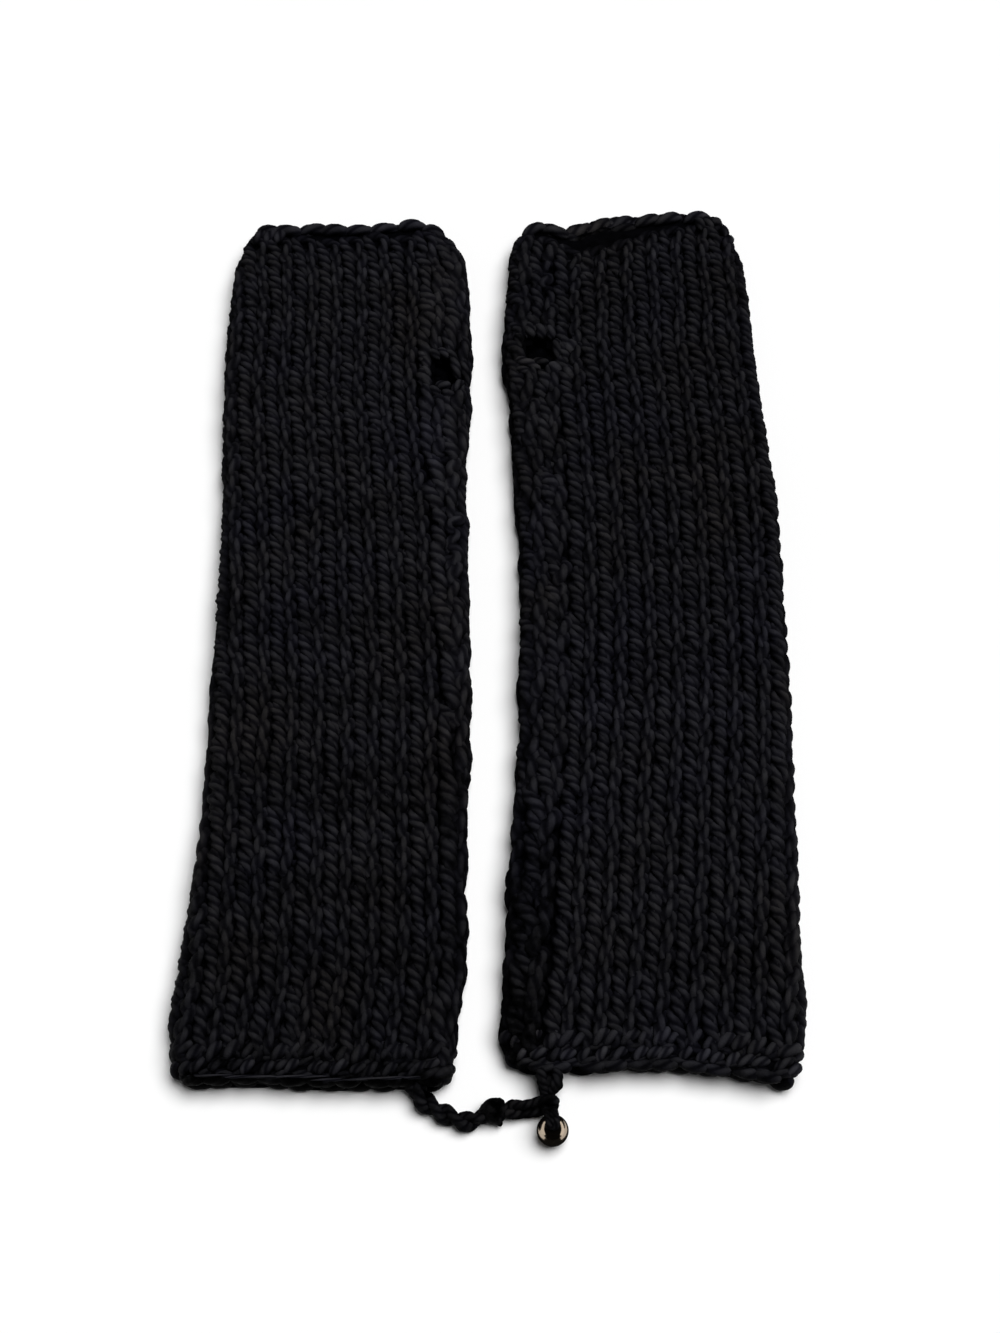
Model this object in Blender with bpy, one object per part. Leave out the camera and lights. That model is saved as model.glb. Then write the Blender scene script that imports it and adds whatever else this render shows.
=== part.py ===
"""A pair of hand-knitted arm warmers, laid flat side by side and buttoned together at their lower corners.

Each arm warmer is one knitted rectangle, folded along its outer side and sewn into a tube along its inner
side, with a thumb opening left in the sewn strip. A chain border is worked round the lower edge and a
bind-off chain round the upper one. A button loop grows from the left border and closes round the shank of
a brass ball button on the right border.

Frame: +X across the pair, +Y from the elbow end to the fingers, +Z up. The origin lies on the surface
that the pair rests on, under the middle of the pair. Tables are in millimetres.
"""

import math
from collections import namedtuple

import bmesh
import bpy
from mathutils import Matrix, Vector

MM = 0.001

# The cloth
CLOTH_WALL = 5.2
SEAM_GAP = 0.3
BORDER_LENGTH = 14.0
UPPER_EDGE_LENGTH = 5.0
UNDER_STRIP = 9.0
RIM_ROUND = 1.6

# Steps in the cloth's solids
PANEL_ROWS = 15
FRONT_STEPS = 5
BACK_STEPS = 3
STRIP_STEPS = 3
FOLD_STEPS = 7
CREASE_ANGLE = math.radians(50)

# Steps in the cords, the ball and the thumb openings
CORD_STEPS = 2
EYE_STEPS = 3
ROUND_SIDES = 2
KNOT_SUBDIVISIONS = 2
BALL_RINGS = 14
BALL_SEGMENTS = 24
STRAND_STEPS = 9
HOLE_SEGMENTS = 20

# The button loop, of two strands chained together
LOOP_CORD_DIAMETER = 6.0
LOOP_STRAND_DIAMETER = 2.6
LOOP_KNOT_RADII = (4.1, 3.9, 3.8)
LOOP_KNOT_CENTRE = (0.0, -183.0, 3.9)

# The shank and the ball button
SHANK_KNOT_RADII = (4.4, 3.5, 4.2)
SHANK_KNOT_CENTRE = (18.3, -174.4, 5.8)
NECK_DIAMETER = 3.0
BALL_RADIUS = 5.2
BALL_CENTRE = (19.0, -189.9, 5.2)
BALL_HOLE_TILT = math.radians(-16)
BALL_DIMPLE_ANGLE = math.radians(30)
BALL_DIMPLE_DEPTH = 0.9
BUTTON_STRAND_DIAMETER = 2.2
BUTTON_STRAND_FIRST = math.radians(8)
BUTTON_STRAND_LAST = math.radians(97)
BUTTON_STRAND_LIFT = 0.35
LEFT_STRAND_SIDES = (-2.4, -1.3)
RIGHT_STRAND_SIDES = (0.3, 1.3)

# One row for each station along an arm warmer, from its lower edge (0) to its upper edge (1): the x of the
# sewn side, the x of the folded side, the width of the sewn strip on the front, the height of the flat tube.
Station = namedtuple("Station", "along seam_x fold_x strip height")
LEFT_STATIONS = [
    Station(0.000, -16.1, -101.8, 8.5, 11.4),
    Station(0.012, -12.6, -106.0, 8.5, 11.6),
    Station(0.040, -12.5, -106.7, 8.5, 11.8),
    Station(0.065, -11.5, -107.6, 8.5, 11.8),
    Station(0.110, -9.7, -106.1, 8.6, 11.8),
    Station(0.200, -9.7, -103.6, 9.0, 12.0),
    Station(0.300, -9.4, -101.5, 10.5, 11.7),
    Station(0.400, -8.4, -102.1, 12.0, 12.1),
    Station(0.500, -9.5, -102.0, 13.5, 11.7),
    Station(0.600, -10.1, -102.2, 15.0, 12.0),
    Station(0.700, -10.5, -104.3, 17.5, 11.8),
    Station(0.780, -9.9, -105.5, 20.5, 11.9),
    Station(0.830, -9.1, -105.8, 21.0, 12.1),
    Station(0.880, -9.9, -105.5, 20.0, 11.9),
    Station(0.930, -11.5, -104.7, 19.5, 11.7),
    Station(0.965, -13.4, -102.8, 19.0, 11.5),
    Station(0.985, -16.3, -100.5, 18.0, 11.3),
    Station(1.000, -19.9, -97.5, 17.0, 11.0),
]
RIGHT_STATIONS = [
    Station(0.000, 8.7, 98.2, 14.0, 11.4),
    Station(0.012, 3.7, 101.0, 14.2, 11.6),
    Station(0.040, 2.1, 102.2, 14.5, 11.8),
    Station(0.065, 2.5, 103.5, 15.0, 11.8),
    Station(0.110, 3.5, 103.6, 16.0, 11.9),
    Station(0.200, 5.2, 104.4, 16.8, 11.7),
    Station(0.300, 7.5, 105.2, 17.0, 12.0),
    Station(0.400, 9.4, 106.5, 17.6, 11.8),
    Station(0.500, 9.3, 106.7, 18.5, 12.1),
    Station(0.600, 8.9, 106.9, 19.0, 11.8),
    Station(0.700, 6.7, 104.5, 20.0, 11.9),
    Station(0.780, 4.7, 102.6, 20.4, 11.8),
    Station(0.830, 3.3, 101.8, 20.6, 12.1),
    Station(0.880, 4.0, 100.9, 20.5, 11.8),
    Station(0.930, 4.9, 99.2, 19.0, 11.6),
    Station(0.965, 6.0, 96.6, 18.0, 11.3),
    Station(0.985, 7.5, 93.3, 17.5, 11.1),
    Station(1.000, 10.1, 89.5, 17.0, 10.8),
]

# One row for each place across an arm warmer, from its sewn side (0) to its folded side (1): the y of the
# lower edge, the y of the upper edge at the back, and how far the front's upper edge falls short of it.
Edge = namedtuple("Edge", "across lower_y upper_y front_short")
LEFT_EDGES = [
    Edge(0.00, -174.5, 183.6, 0.0),
    Edge(0.10, -174.9, 187.5, 0.6),
    Edge(0.25, -175.5, 189.5, 2.2),
    Edge(0.50, -175.1, 188.1, 2.6),
    Edge(0.75, -174.3, 187.8, 2.4),
    Edge(1.00, -174.7, 186.3, 0.4),
]
RIGHT_EDGES = [
    Edge(0.00, -170.1, 184.3, 0.4),
    Edge(0.12, -170.7, 189.9, 3.0),
    Edge(0.27, -170.3, 189.3, 8.0),
    Edge(0.42, -169.6, 193.3, 8.5),
    Edge(0.60, -170.3, 194.9, 6.0),
    Edge(0.82, -172.6, 195.9, 3.0),
    Edge(1.00, -174.9, 194.9, 0.4),
]

# The thumb openings: the middle and the half sizes of each oval, cut through the sewn strip's front.
ThumbHole = namedtuple("ThumbHole", "x y half_width half_length")
LEFT_THUMB_HOLE = ThumbHole(-19.1, 112.1, 5.3, 6.8)
RIGHT_THUMB_HOLE = ThumbHole(17.1, 122.4, 5.0, 6.0)

Piece = namedtuple("Piece", "name stations edges thumb_hole")
LEFT = Piece("left", LEFT_STATIONS, LEFT_EDGES, LEFT_THUMB_HOLE)
RIGHT = Piece("right", RIGHT_STATIONS, RIGHT_EDGES, RIGHT_THUMB_HOLE)

# The button loop's route, from the left border to the knot.
LOOP_CORD_ROUTE = [
    (-25.3, -175.8, 5.0),
    (-25.1, -177.0, 4.9),
    (-22.2, -180.2, 4.0),
    (-18.3, -182.6, 3.5),
    (-14.1, -184.8, 3.2),
    (-10.4, -186.1, 3.1),
    (-6.8, -186.0, 3.3),
    (-4.1, -184.8, 3.6),
]

# The loop's open eye: out of the knot, over the neck of the shank, round it and back under it.
LOOP_EYE_ROUTE = [
    (5.5, -182.4, 4.3),
    (6.2, -180.9, 4.8),
    (8.9, -180.3, 5.4),
    (12.9, -180.6, 6.6),
    (15.2, -180.6, 8.1),
    (17.2, -180.6, 8.8),
    (19.4, -180.7, 7.7),
    (20.3, -180.9, 5.6),
    (19.4, -181.2, 3.4),
    (17.2, -181.5, 2.4),
    (13.5, -183.0, 2.6),
    (9.0, -184.0, 3.2),
    (6.4, -183.9, 3.8),
]

# The neck of the shank, from its knot through the loop's eye to the ball button.
NECK_ROUTE = [
    (17.5, -178.4, 5.7),
    (17.2, -179.6, 5.6),
    (17.2, -180.8, 5.6),
    (17.5, -182.1, 5.7),
]


def lerp(low, high, share):
    return low + (high - low) * share


def slope_at(table, column, index):
    """The slope of a smooth curve through a table's rows that never swings past them."""
    if index in (0, len(table) - 1):
        return 0.0
    before, here, after = (table[index + step] for step in (-1, 0, 1))
    left = (getattr(here, column) - getattr(before, column)) / (here[0] - before[0])
    right = (getattr(after, column) - getattr(here, column)) / (after[0] - here[0])
    if left * right <= 0:
        return 0.0
    return 2 * left * right / (left + right)


def read_table(table, column, place):
    """A column's value at a place between the table's rows, read from a smooth curve."""
    place = min(max(place, table[0][0]), table[-1][0])
    index = 0
    while index < len(table) - 2 and place > table[index + 1][0]:
        index += 1
    low, high = table[index], table[index + 1]
    span = high[0] - low[0]
    share = (place - low[0]) / span
    slope_low = slope_at(table, column, index) * span
    slope_high = slope_at(table, column, index + 1) * span
    value_low, value_high = getattr(low, column), getattr(high, column)
    return (
        value_low * (1 + 2 * share) * (1 - share) ** 2
        + value_high * share**2 * (3 - 2 * share)
        + slope_low * share * (1 - share) ** 2
        - slope_high * share**2 * (1 - share)
    )


def flat_tube(piece, along):
    """The flat tube at a station: x of its sewn and folded fold centres, fold radius, and side of the fold."""
    seam_x = read_table(piece.stations, "seam_x", along)
    fold_x = read_table(piece.stations, "fold_x", along)
    radius = read_table(piece.stations, "height", along) / 2
    outward = math.copysign(1.0, fold_x - seam_x)
    return seam_x + outward * radius, fold_x - outward * radius, radius, outward


def cloth_point(piece, around, along, depth):
    """A point of the flattened tube, depth below its outer face.

    around runs over the front (0 to 1), the outer fold (1 to 2), the back (2 to 3) and the sewn fold
    (3 to 4); along runs from the lower edge (0) to the upper edge (1).
    """
    seam_centre, fold_centre, radius, outward = flat_tube(piece, along)
    around %= 4
    reach = radius - depth
    if around <= 1:
        x, z = lerp(seam_centre, fold_centre, around), 2 * radius - depth
    elif around <= 2:
        turn = (around - 1) * math.pi
        x, z = fold_centre + outward * reach * math.sin(turn), radius + reach * math.cos(turn)
    elif around <= 3:
        x, z = lerp(fold_centre, seam_centre, around - 2), depth
    else:
        turn = (around - 3) * math.pi
        x, z = seam_centre - outward * reach * math.sin(turn), radius - reach * math.cos(turn)
    width = abs(fold_centre - seam_centre) + 2 * radius
    across = (x - (seam_centre - outward * radius)) * outward / width
    short = read_table(piece.edges, "front_short", across) * z / (2 * radius)
    upper_y = read_table(piece.edges, "upper_y", across) - short
    y = lerp(read_table(piece.edges, "lower_y", across), upper_y, along)
    return Vector((x, y, max(z, 0.0))) * MM


def piece_length(piece):
    """The tube's length down its middle."""
    return read_table(piece.edges, "upper_y", 0.5) - read_table(piece.edges, "lower_y", 0.5)


def front_seam(piece, along, clearance):
    """The place around the tube of the seam line on the front, moved by a clearance towards the outer fold."""
    seam_centre, fold_centre, radius, _ = flat_tube(piece, along)
    strip = read_table(piece.stations, "strip", along)
    return (strip + clearance - radius) / abs(fold_centre - seam_centre)


def back_seam(piece, along, clearance):
    """The place around the tube of the seam line on the back, moved by a clearance towards the outer fold."""
    seam_centre, fold_centre, radius, _ = flat_tube(piece, along)
    return 3 - (UNDER_STRIP + clearance - radius) / abs(fold_centre - seam_centre)


def spread(first, last, steps):
    return [lerp(first, last, step / steps) for step in range(steps + 1)]


def panel_columns(piece, along, clearance=SEAM_GAP / 2):
    """Places around the knitted panel: front, outer fold and back, clear of the sewn strip."""
    start = front_seam(piece, along, clearance)
    end = back_seam(piece, along, clearance)
    return spread(start, 1, FRONT_STEPS) + spread(1, 2, FOLD_STEPS)[1:] + spread(2, end, BACK_STEPS)[1:]


def strip_columns(piece, along, clearance=SEAM_GAP / 2):
    """Places around the sewn strip: a little of the back, the sewn fold, and its share of the front."""
    start = back_seam(piece, along, -clearance)
    end = 4 + front_seam(piece, along, -clearance)
    return [start] + spread(3, 4, FOLD_STEPS) + spread(4, end, STRIP_STEPS)[1:]


def ring_columns(piece, along):
    """Places all round the tube, for the border and the bind-off edge, in line with those below them."""
    return panel_columns(piece, along, 0) + strip_columns(piece, along, 0)[1:-1]


def link(mesh, name, material):
    """Puts a finished mesh or curve into the scene under the pair's empty."""
    obj = bpy.data.objects.new(name, mesh)
    bpy.context.scene.collection.objects.link(obj)
    obj.data.materials.append(material)
    obj.parent = bpy.data.objects["arm_warmers"]
    return obj


def build_wall(name, piece, columns, rows, closed, material):
    """A wall of cloth from a grid of places. A row is (along, outer face's depth, inner face's depth)."""
    shell = bmesh.new()
    outer, inner = [], []
    for along, outer_depth, inner_depth in rows:
        places = columns(piece, along)
        outer.append([shell.verts.new(cloth_point(piece, place, along, outer_depth)) for place in places])
        inner.append([shell.verts.new(cloth_point(piece, place, along, inner_depth)) for place in places])
    count = len(outer[0])
    steps = count if closed else count - 1
    for row in range(len(rows) - 1):
        for step in range(steps):
            after = (step + 1) % count
            shell.faces.new((outer[row][step], outer[row][after], outer[row + 1][after], outer[row + 1][step]))
            shell.faces.new((inner[row][after], inner[row][step], inner[row + 1][step], inner[row + 1][after]))
    for row in (0, len(rows) - 1):
        for step in range(steps):
            after = (step + 1) % count
            shell.faces.new((outer[row][step], inner[row][step], inner[row][after], outer[row][after]))
    if not closed:
        for step in (0, count - 1):
            for row in range(len(rows) - 1):
                low, high = row, row + 1
                shell.faces.new((outer[low][step], outer[high][step], inner[high][step], inner[low][step]))
    bmesh.ops.recalc_face_normals(shell, faces=shell.faces)
    mesh = bpy.data.meshes.new(name)
    shell.to_mesh(mesh)
    shell.free()
    mesh.shade_smooth()
    mesh.set_sharp_from_angle(angle=CREASE_ANGLE)
    return link(mesh, name, material)


def cut_thumb_hole(strip, piece, material):
    """Cuts the thumb opening through the front of the sewn strip, down into the flat tube."""
    hole = piece.thumb_hole
    lower_y = read_table(piece.edges, "lower_y", 0)
    height = read_table(piece.stations, "height", (hole.y - lower_y) / piece_length(piece))
    cutter = bmesh.new()
    bmesh.ops.create_cone(
        cutter, cap_ends=True, segments=HOLE_SEGMENTS, radius1=MM, radius2=MM, depth=height * MM
    )
    bmesh.ops.scale(cutter, vec=(hole.half_width, hole.half_length, 1), verts=cutter.verts)
    bmesh.ops.translate(cutter, vec=Vector((hole.x, hole.y, height)) * MM, verts=cutter.verts)
    mesh = bpy.data.meshes.new(f"{piece.name}_thumb_cutter")
    cutter.to_mesh(mesh)
    cutter.free()
    guide = link(mesh, mesh.name, material)
    guide.hide_render = True
    guide.display_type = "WIRE"
    cut = strip.modifiers.new("thumb_opening", "BOOLEAN")
    cut.operation = "DIFFERENCE"
    cut.object = guide


def build_arm_warmer(piece, wool):
    """The four sewn and knitted pieces of one arm warmer."""
    length = piece_length(piece)
    border_top = BORDER_LENGTH / length
    edge_bottom = 1 - UPPER_EDGE_LENGTH / length
    gap = SEAM_GAP / length
    round_rows = RIM_ROUND / length
    body = [(along, 0.0, CLOTH_WALL) for along in spread(border_top + gap, edge_bottom - gap, PANEL_ROWS)]
    build_wall(f"{piece.name}_knit_panel", piece, panel_columns, body, False, wool)
    strip = build_wall(f"{piece.name}_seam_strip", piece, strip_columns, body, False, wool)
    cut_thumb_hole(strip, piece, wool)
    border = [
        (0.0, RIM_ROUND, CLOTH_WALL),
        (round_rows, 0.0, CLOTH_WALL),
        (border_top / 2, 0.0, CLOTH_WALL),
        (border_top, 0.0, CLOTH_WALL),
    ]
    build_wall(f"{piece.name}_lower_border", piece, ring_columns, border, True, wool)
    edge = [
        (edge_bottom, 0.0, CLOTH_WALL),
        (1 - round_rows, 0.0, CLOTH_WALL),
        (1.0, RIM_ROUND, CLOTH_WALL),
    ]
    build_wall(f"{piece.name}_upper_edge", piece, ring_columns, edge, True, wool)


def smooth_route(points, steps, closed=False):
    """Points on a smooth curve through a route, with a number of steps between its own points."""
    count = len(points)
    route = [Vector(point) for point in points]
    found = []
    for index in range(count if closed else count - 1):
        if closed:
            around = [route[(index + step) % count] for step in (-1, 0, 1, 2)]
        else:
            around = [route[min(max(index + step, 0), count - 1)] for step in (-1, 0, 1, 2)]
        before, here, after, beyond = around
        for step in range(steps):
            t = step / steps
            found.append(
                0.5
                * (
                    2 * here
                    + (after - before) * t
                    + (2 * before - 5 * here + 4 * after - beyond) * t**2
                    + (3 * here - before - 3 * after + beyond) * t**3
                )
            )
    return found if closed else found + [route[-1]]


def build_tube(name, points, diameter, material, closed=False):
    """A cord's plain solid: a round tube along its points, with filled ends where it is open."""
    curve = bpy.data.curves.new(name, "CURVE")
    curve.dimensions = "3D"
    curve.bevel_depth = diameter / 2 * MM
    curve.bevel_resolution = ROUND_SIDES
    curve.use_fill_caps = not closed
    spline = curve.splines.new("POLY")
    spline.points.add(len(points) - 1)
    for place, point in zip(spline.points, points):
        place.co = (*(point * MM), 1.0)
    spline.use_cyclic_u = closed
    spline.use_smooth = True
    return link(curve, name, material)


def build_round_knot(name, centre, radii, material):
    """A round knot, a little longer one way than another."""
    knot = bmesh.new()
    bmesh.ops.create_icosphere(knot, subdivisions=KNOT_SUBDIVISIONS, radius=MM)
    bmesh.ops.scale(knot, vec=radii, verts=knot.verts)
    mesh = bpy.data.meshes.new(name)
    knot.to_mesh(mesh)
    knot.free()
    mesh.shade_smooth()
    obj = link(mesh, name, material)
    obj.location = Vector(centre) * MM
    return obj


def build_ball_button(material):
    """The ball button: a turned ball with a dimple where its shank's strands go in."""
    turns = [2 * math.pi * step / BALL_SEGMENTS for step in range(BALL_SEGMENTS)]
    ball = bmesh.new()
    circles = []
    for ring in range(1, BALL_RINGS):
        angle = math.pi * ring / BALL_RINGS
        dip = BALL_DIMPLE_DEPTH * max(0.0, 1 - angle / BALL_DIMPLE_ANGLE)
        radius = (BALL_RADIUS - dip) * MM
        flat = radius * math.sin(angle)
        height = radius * math.cos(angle)
        circles.append([ball.verts.new((flat * math.cos(t), flat * math.sin(t), height)) for t in turns])
    for low, high in zip(circles, circles[1:]):
        for step in range(BALL_SEGMENTS):
            after = (step + 1) % BALL_SEGMENTS
            ball.faces.new((low[step], high[step], high[after], low[after]))
    for circle, height in ((circles[0], BALL_RADIUS - BALL_DIMPLE_DEPTH), (circles[-1], -BALL_RADIUS)):
        pole = ball.verts.new((0, 0, height * MM))
        for step in range(BALL_SEGMENTS):
            ball.faces.new((pole, circle[step], circle[(step + 1) % BALL_SEGMENTS]))
    bmesh.ops.recalc_face_normals(ball, faces=ball.faces)
    mesh = bpy.data.meshes.new("ball_button")
    ball.transform(Matrix.Rotation(-BALL_HOLE_TILT, 4, "X"))
    ball.to_mesh(mesh)
    ball.free()
    mesh.shade_smooth()
    obj = link(mesh, "ball_button", material)
    obj.location = Vector(BALL_CENTRE) * MM


def build_button_strand(name, sides, material):
    """A strand of the shank, laid over the ball from the neck to the ball's dimple."""
    reach = BALL_RADIUS + BUTTON_STRAND_LIFT + BUTTON_STRAND_DIAMETER / 2
    points = []
    for share in spread(0, 1, STRAND_STEPS):
        turn = lerp(BUTTON_STRAND_FIRST, BUTTON_STRAND_LAST, share)
        side = lerp(*sides, share)
        flat = math.sqrt(reach**2 - side**2)
        points.append(Vector(BALL_CENTRE) + Vector((side, flat * math.cos(turn), flat * math.sin(turn))))
    return build_tube(name, points, BUTTON_STRAND_DIAMETER, material)


def make_material(name, colour, roughness, metallic):
    material = bpy.data.materials.new(name)
    material.use_nodes = True
    shader = material.node_tree.nodes["Principled BSDF"]
    shader.inputs["Base Color"].default_value = (*colour, 1.0)
    shader.inputs["Roughness"].default_value = roughness
    shader.inputs["Metallic"].default_value = metallic
    return material


def main():
    for obj in list(bpy.data.objects):
        bpy.data.objects.remove(obj)
    root = bpy.data.objects.new("arm_warmers", None)
    bpy.context.scene.collection.objects.link(root)
    wool = make_material("black_wool", (0.012, 0.012, 0.014), 0.9, 0.0)
    brass = make_material("polished_brass", (0.62, 0.42, 0.17), 0.16, 1.0)
    for piece in (LEFT, RIGHT):
        build_arm_warmer(piece, wool)
    build_tube("loop_cord", smooth_route(LOOP_CORD_ROUTE, CORD_STEPS), LOOP_CORD_DIAMETER, wool)
    build_round_knot("loop_knot", LOOP_KNOT_CENTRE, LOOP_KNOT_RADII, wool)
    eye = smooth_route(LOOP_EYE_ROUTE, EYE_STEPS, closed=True)
    build_tube("loop_eye", eye, LOOP_STRAND_DIAMETER, wool, closed=True)
    build_round_knot("shank_knot", SHANK_KNOT_CENTRE, SHANK_KNOT_RADII, wool)
    build_tube("shank_neck", smooth_route(NECK_ROUTE, CORD_STEPS), NECK_DIAMETER, wool)
    build_button_strand("button_strand_left", LEFT_STRAND_SIDES, wool)
    build_button_strand("button_strand_right", RIGHT_STRAND_SIDES, wool)
    build_ball_button(brass)


main()
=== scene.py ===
"""The looks of a pair of hand-knitted arm warmers, laid flat side by side and buttoned together.

Each arm warmer is a flattened tube with the same stations and edges as its solids. A place on it is given by
how far round the tube it lies, how far along, and how deep below the outer face. On it every yarn is a tube of
its own, with a thin cloth behind them coloured in the darkest painted shade. The button loop, its knot, the
shank and the ball follow.
"""

import math
from collections import namedtuple

import bmesh
import bpy
import numpy as np
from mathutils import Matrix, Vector


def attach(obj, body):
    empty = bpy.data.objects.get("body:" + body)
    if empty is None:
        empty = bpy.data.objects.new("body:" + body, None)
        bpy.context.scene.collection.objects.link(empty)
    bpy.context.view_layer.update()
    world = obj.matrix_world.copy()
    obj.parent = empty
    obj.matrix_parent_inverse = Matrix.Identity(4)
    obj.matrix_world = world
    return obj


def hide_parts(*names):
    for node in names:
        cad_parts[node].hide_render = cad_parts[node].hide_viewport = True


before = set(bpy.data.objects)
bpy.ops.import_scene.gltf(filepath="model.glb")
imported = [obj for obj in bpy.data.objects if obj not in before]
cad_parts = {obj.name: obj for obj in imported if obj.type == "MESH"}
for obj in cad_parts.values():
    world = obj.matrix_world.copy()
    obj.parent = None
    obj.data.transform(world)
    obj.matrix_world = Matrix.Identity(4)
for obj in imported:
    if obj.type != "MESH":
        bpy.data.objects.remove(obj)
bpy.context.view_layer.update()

MM = 0.001
TAU = math.tau


def add_object(name, data):
    obj = bpy.data.objects.new(name, data)
    bpy.context.scene.collection.objects.link(obj)
    return obj


# ---- camera, as the pair is looked at
CAMERA_PLACE = (0.0020, -0.4237, 0.7101)
CAMERA_TILT = math.radians(30)
CAMERA_FIELD = math.radians(33)


def add_camera():
    data = bpy.data.cameras.new("camera")
    data.sensor_fit = "VERTICAL"
    data.angle = CAMERA_FIELD
    camera = add_object("camera", data)
    camera.location = CAMERA_PLACE
    camera.rotation_euler = (CAMERA_TILT, 0, 0)
    bpy.context.scene.camera = camera


# ---- the flattened tubes, in millimetres
CLOTH_WALL = 5.2
MIDDLE_DEPTH = 2.3
BORDER_LENGTH = 14.0
UPPER_EDGE_LENGTH = 5.0
UNDER_STRIP = 9.0
FRONT_SEAM, BACK_SEAM = 0, 1

# At each station: the share of the length from the elbow end, and for the left tube and the right one the x of
# the sewn side, the x of the folded side, the width of the sewn strip on the front, and the height.
STATIONS = [
    (0.000, (-16.1, -101.8, 8.5, 11.4), (8.7, 98.2, 14.0, 11.4)),
    (0.012, (-12.6, -106.0, 8.5, 11.6), (3.7, 101.0, 14.2, 11.6)),
    (0.040, (-12.5, -106.7, 8.5, 11.8), (2.1, 102.2, 14.5, 11.8)),
    (0.065, (-11.5, -107.6, 8.5, 11.8), (2.5, 103.5, 15.0, 11.8)),
    (0.110, (-9.7, -106.1, 8.6, 11.8), (3.5, 103.6, 16.0, 11.9)),
    (0.200, (-9.7, -103.6, 9.0, 12.0), (5.2, 104.4, 16.8, 11.7)),
    (0.300, (-9.4, -101.5, 10.5, 11.7), (7.5, 105.2, 17.0, 12.0)),
    (0.400, (-8.4, -102.1, 12.0, 12.1), (9.4, 106.5, 17.6, 11.8)),
    (0.500, (-9.5, -102.0, 13.5, 11.7), (9.3, 106.7, 18.5, 12.1)),
    (0.600, (-10.1, -102.2, 15.0, 12.0), (8.9, 106.9, 19.0, 11.8)),
    (0.700, (-10.5, -104.3, 17.5, 11.8), (6.7, 104.5, 20.0, 11.9)),
    (0.780, (-9.9, -105.5, 20.5, 11.9), (4.7, 102.6, 20.4, 11.8)),
    (0.830, (-9.1, -105.8, 21.0, 12.1), (3.3, 101.8, 20.6, 12.1)),
    (0.880, (-9.9, -105.5, 20.0, 11.9), (4.0, 100.9, 20.5, 11.8)),
    (0.930, (-11.5, -104.7, 19.5, 11.7), (4.9, 99.2, 19.0, 11.6)),
    (0.965, (-13.4, -102.8, 19.0, 11.5), (6.0, 96.6, 18.0, 11.3)),
    (0.985, (-16.3, -100.5, 18.0, 11.3), (7.5, 93.3, 17.5, 11.1)),
    (1.000, (-19.9, -97.5, 17.0, 11.0), (10.1, 89.5, 17.0, 10.8)),
]

# At places across: the share of the width from the sewn side, the y of the lower edge, the y of the upper
# edge at the back, and how far the front's upper edge falls short of it.
LEFT_EDGES = [
    (0.00, -174.5, 183.6, 0.0),
    (0.10, -174.9, 187.5, 0.6),
    (0.25, -175.5, 189.5, 2.2),
    (0.50, -175.1, 188.1, 2.6),
    (0.75, -174.3, 187.8, 2.4),
    (1.00, -174.7, 186.3, 0.4),
]
RIGHT_EDGES = [
    (0.00, -170.1, 184.3, 0.4),
    (0.12, -170.7, 189.9, 3.0),
    (0.27, -170.3, 189.3, 8.0),
    (0.42, -169.6, 193.3, 8.5),
    (0.60, -170.3, 194.9, 6.0),
    (0.82, -172.6, 195.9, 3.0),
    (1.00, -174.9, 194.9, 0.4),
]

# A thumb opening's middle and half sizes.
ThumbHole = namedtuple("ThumbHole", "x y half_width half_length")


def smooth_curve(places, values):
    """A smooth curve through a table's rows that never swings past them, read at any array of places."""
    places = np.array(places)
    values = np.array(values)
    rates = np.diff(values) / np.diff(places)
    before, after = rates[:-1], rates[1:]
    same_way = before * after > 0
    slopes = np.zeros(len(places))
    slopes[1:-1][same_way] = 2 * before[same_way] * after[same_way] / (before + after)[same_way]

    def read(place):
        place = np.clip(place, places[0], places[-1])
        row = np.clip(np.searchsorted(places, place, side="left") - 1, 0, len(places) - 2)
        span = places[row + 1] - places[row]
        share = (place - places[row]) / span
        return (
            values[row] * (1 + 2 * share) * (1 - share) ** 2
            + values[row + 1] * share**2 * (3 - 2 * share)
            + slopes[row] * span * share * (1 - share) ** 2
            - slopes[row + 1] * span * share**2 * (1 - share)
        )

    return read


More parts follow.
